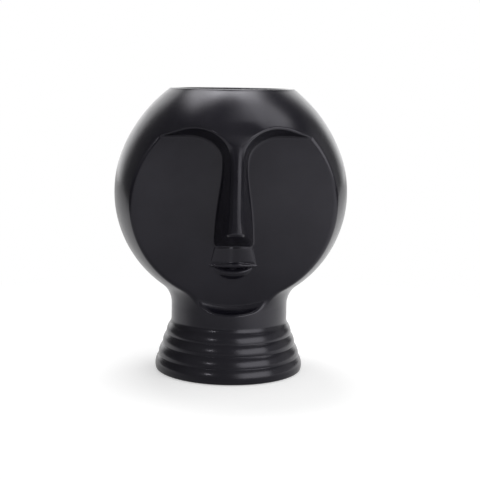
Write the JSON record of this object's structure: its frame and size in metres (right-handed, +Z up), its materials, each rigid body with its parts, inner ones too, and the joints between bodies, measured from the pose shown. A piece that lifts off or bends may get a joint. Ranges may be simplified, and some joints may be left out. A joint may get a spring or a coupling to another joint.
{
  "type": "face vase",
  "caption": "Round black glazed ceramic vase shaped as a head, with a flat front face, arched brows, straight nose and small lips, open at the top, on a ringed foot.",
  "frame": {"origin": "on the vase's upright axis, in the plane that its foot pads stand on", "axes": "+Z up along the vase's axis, -Y the way the face looks, +X the vase's left side as its face sees it"},
  "size_m": [0.1804, 0.1657, 0.22],
  "materials": {
    "black_glaze": "satin",
    "bare_clay": "matte",
    "inner_glaze": "gloss",
    "pad": "matte"
  },
  "bodies": {
    "root": {"head": "black_glaze", "ribbed_foot": "black_glaze", "foot_floor": "bare_clay", "liner_glaze": "inner_glaze", "foot_pad_1": "pad", "foot_pad_2": "pad", "foot_pad_3": "pad", "foot_pad_4": "pad"}
  },
  "joints": []
}
